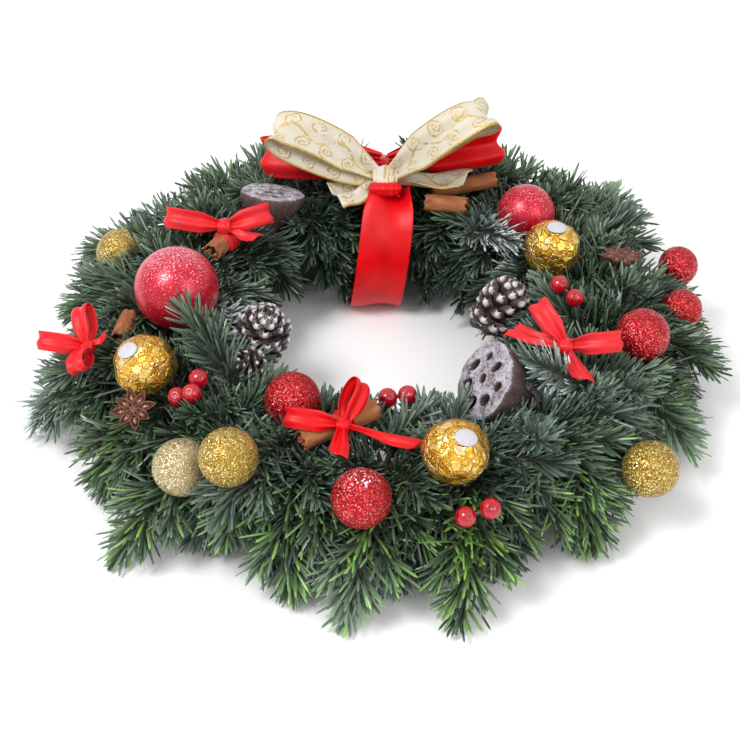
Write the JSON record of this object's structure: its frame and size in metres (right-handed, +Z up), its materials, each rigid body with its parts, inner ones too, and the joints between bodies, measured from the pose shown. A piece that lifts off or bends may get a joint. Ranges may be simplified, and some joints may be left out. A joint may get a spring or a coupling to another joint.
{
  "type": "decorated evergreen wreath",
  "caption": "Fresh fir wreath lying flat, with baubles, foil-wrapped sweets, cones, lotus pods, spices, berries and ribbon bows bound round an open middle.",
  "frame": {"origin": "bottom centre of the box round the whole wreath, on the surface that it lies on", "axes": "+Z up out of the surface; +Y towards the big bow; +X to the right as seen from the side opposite the bow"},
  "size_m": [0.3502, 0.3252, 0.1075],
  "materials": {
    "base_wrap": "dark green floral wrap over straw, bound with wire",
    "fir": "fresh fir needles, waxy, some dusted with white",
    "bauble_red": "red, satin or coated with fine glitter",
    "bauble_gold": "gold glitter",
    "bauble_pale_gold": "pale gold glitter",
    "gold_foil": "crumpled gold foil",
    "seal_paper": "plain white paper",
    "cone_scales": "dark brown, whitened at the scale tips",
    "lotus_pod": "dried, frosted with white on its face",
    "star_anise": "dry, red-brown",
    "berries": "glossy red",
    "cinnamon_bark": "dry rolled bark",
    "red_satin": "red satin ribbon",
    "cream_ribbon": "cream ribbon with gold swirls and a wired gold edge"
  },
  "bodies": {
    "root": {"bauble_gold_back": "bauble_gold", "bauble_gold_front": "bauble_gold", "bauble_gold_right": "bauble_gold", "bauble_pale_front": "bauble_pale_gold", "bauble_red_back": "bauble_red", "bauble_red_front": "bauble_red", "bauble_red_inner": "bauble_red", "bauble_red_large": "bauble_red", "bauble_red_right": "bauble_red", "bauble_red_rim_back": "bauble_red", "bauble_red_rim_right": "bauble_red", "berries_front": "berries", "berries_inner": "berries", "berries_left": "berries", "berries_right": "berries", "bow_big_cream": "cream_ribbon", "bow_big_red": "red_satin", "bow_front": "red_satin", "bow_left": "red_satin", "bow_left_back": "red_satin", "bow_right": "red_satin", "cinnamon_back_high": "cinnamon_bark", "cinnamon_back_low": "cinnamon_bark", "cinnamon_front": "cinnamon_bark", "cinnamon_left": "cinnamon_bark", "cinnamon_left_back": "cinnamon_bark", "cone_left": "cone_scales", "cone_low": "cone_scales", "cone_right": "cone_scales", "fir_bunch_010": "fir", "fir_bunch_030": "fir", "fir_bunch_050": "fir", "fir_bunch_070": "fir", "fir_bunch_090": "fir", "fir_bunch_110": "fir", "fir_bunch_130": "fir", "fir_bunch_150": "fir", "fir_bunch_170": "fir", "fir_bunch_190": "fir", "fir_bunch_210": "fir", "fir_bunch_230": "fir", "fir_bunch_250": "fir", "fir_bunch_270": "fir", "fir_bunch_290": "fir", "fir_bunch_310": "fir", "fir_bunch_330": "fir", "fir_bunch_350": "fir", "foil_sweet_back": "gold_foil", "foil_sweet_front": "gold_foil", "foil_sweet_left": "gold_foil", "lotus_pod_left": "lotus_pod", "lotus_pod_right": "lotus_pod", "paper_seal_back": "seal_paper", "paper_seal_front": "seal_paper", "paper_seal_left": "seal_paper", "ribbon_band": "red_satin", "star_anise_back": "star_anise", "star_anise_left": "star_anise", "straw_ring": "base_wrap"}
  },
  "joints": []
}
